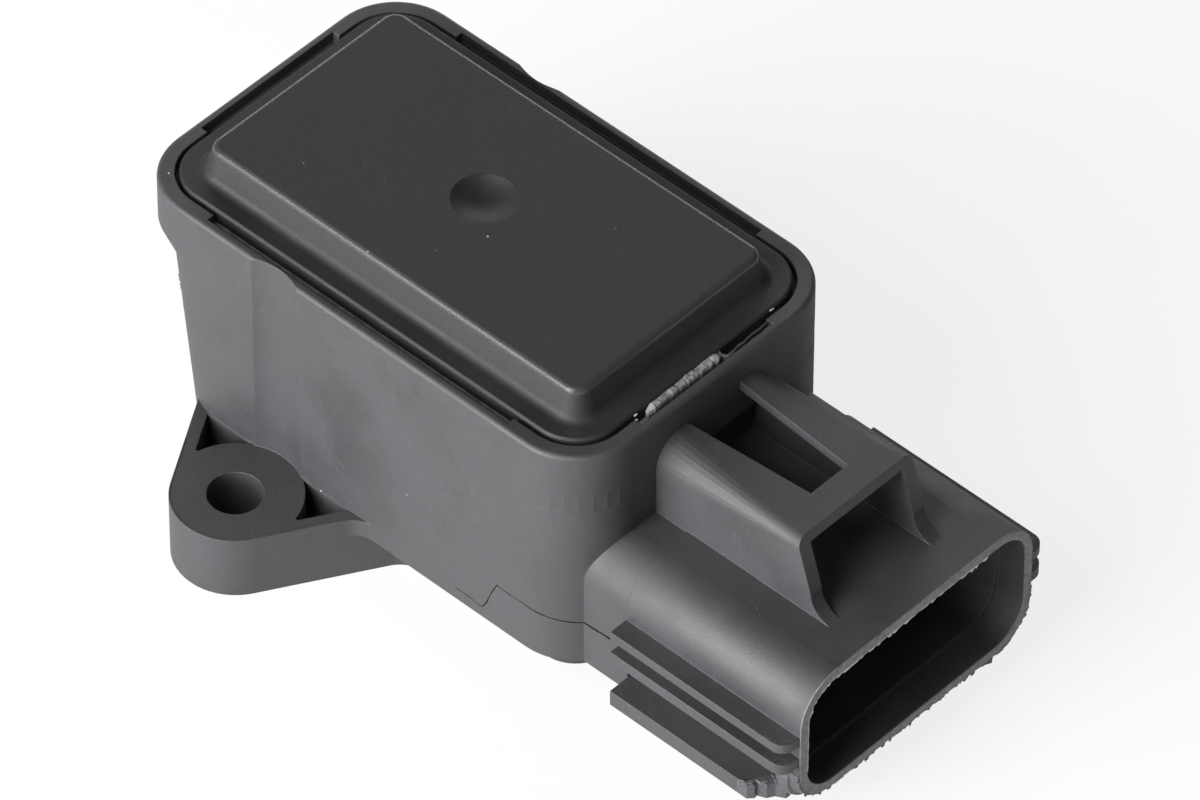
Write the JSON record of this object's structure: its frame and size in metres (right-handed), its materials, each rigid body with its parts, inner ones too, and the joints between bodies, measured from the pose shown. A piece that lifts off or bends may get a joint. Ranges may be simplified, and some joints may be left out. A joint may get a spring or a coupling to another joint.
{
  "type": "throttle position sensor",
  "caption": "Rotary throttle position sensor: a black moulded box with bolt ears, a raised cover, a side plug with a latch tower and a sprung rotor for the throttle's shaft.",
  "frame": {"origin": "on the rotor's axis, midway between the two bolt holes, in the plane of the mounting face", "axes": "+X along the plug, from the rotor's axis towards the plug's mouth; +Y across the body, from one bolt ear to the other; +Z from the mounting face up to the cover"},
  "size_m": [0.0827, 0.0594, 0.0354],
  "materials": {
    "housing_plastic": "moulded black, glass-filled, slight sheen",
    "cover_plastic": "moulded black, fine matte",
    "sealant": "cured grey adhesive",
    "board_laminate": "green solder mask",
    "track_ink": "printed carbon ink",
    "capacitor_ceramic": "tan ceramic",
    "resistor_body": "black film on ceramic",
    "carrier_plastic": "moulded black",
    "terminal_metal": "tin-plated brass",
    "rotor_plastic": "natural moulded",
    "contact_metal": "copper alloy sheet",
    "spring_steel": "drawn wire",
    "bush_metal": "sintered bronze",
    "washer_steel": "stamped",
    "ring_steel": "stamped, oiled",
    "seal_rubber": "black rubber",
    "o_ring_rubber": "black rubber"
  },
  "bodies": {
    "sensor_housing": {"housing": "housing_plastic", "cover": "cover_plastic", "sealant_bead": "sealant", "track_board": "board_laminate", "resistive_tracks": "track_ink", "chip_capacitors": "capacitor_ceramic", "chip_resistors": "resistor_body", "terminal_carrier": "carrier_plastic", "terminal_1": "terminal_metal", "terminal_2": "terminal_metal", "terminal_3": "terminal_metal", "terminal_4": "terminal_metal", "terminal_5": "terminal_metal", "terminal_6": "terminal_metal", "return_spring": "spring_steel", "rotor_bush": "bush_metal", "thrust_washer": "washer_steel", "shaft_seal": "seal_rubber", "flange_o_ring": "o_ring_rubber"},
    "rotor": {"rotor": "rotor_plastic", "wiper_a": "contact_metal", "wiper_b": "contact_metal", "retaining_ring": "ring_steel"}
  },
  "joints": [
    {"name": "rotor_turn", "type": "hinge", "parent": "sensor_housing", "child": "rotor", "pos_m": [0, 0, 0], "axis": [0, 0, 1], "range_deg": [0, 95], "stiffness_Nm_per_rad": 0.008, "springref_deg": -34.38, "deforming": ["return_spring"]}
  ]
}
